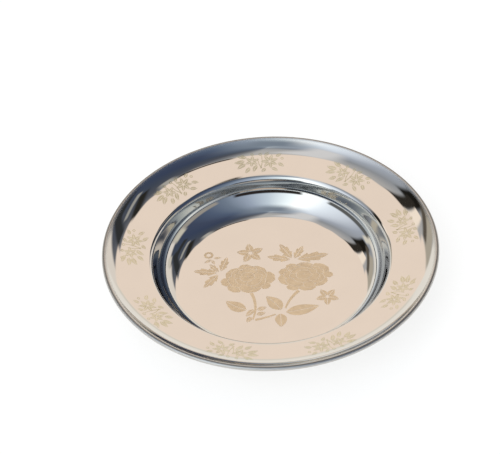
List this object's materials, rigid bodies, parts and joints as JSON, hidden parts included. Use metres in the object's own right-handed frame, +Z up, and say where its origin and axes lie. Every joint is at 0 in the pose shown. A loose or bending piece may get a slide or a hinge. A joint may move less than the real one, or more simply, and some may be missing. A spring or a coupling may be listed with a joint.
{
  "type": "soup plate",
  "caption": "Round soup plate of polished stainless steel with a deep flat-floored well, a wide sloping rim, an upturned lip and a rolled wired edge.",
  "frame": {"origin": "centre of the flat underside that the plate stands on", "axes": "+Z up along the plate's axis of rotation; the plate is round, so +X and +Y are any two directions across it"},
  "size_m": [0.2498, 0.2498, 0.036],
  "materials": {
    "polished_steel": "mirror-polished stainless steel sheet, with a matt etched floral ornament on the floor and rim",
    "wire_steel": "drawn steel wire, hidden inside the rolled edge"
  },
  "bodies": {
    "root": {"plate_shell": "polished_steel", "edge_wire": "wire_steel"}
  },
  "joints": []
}
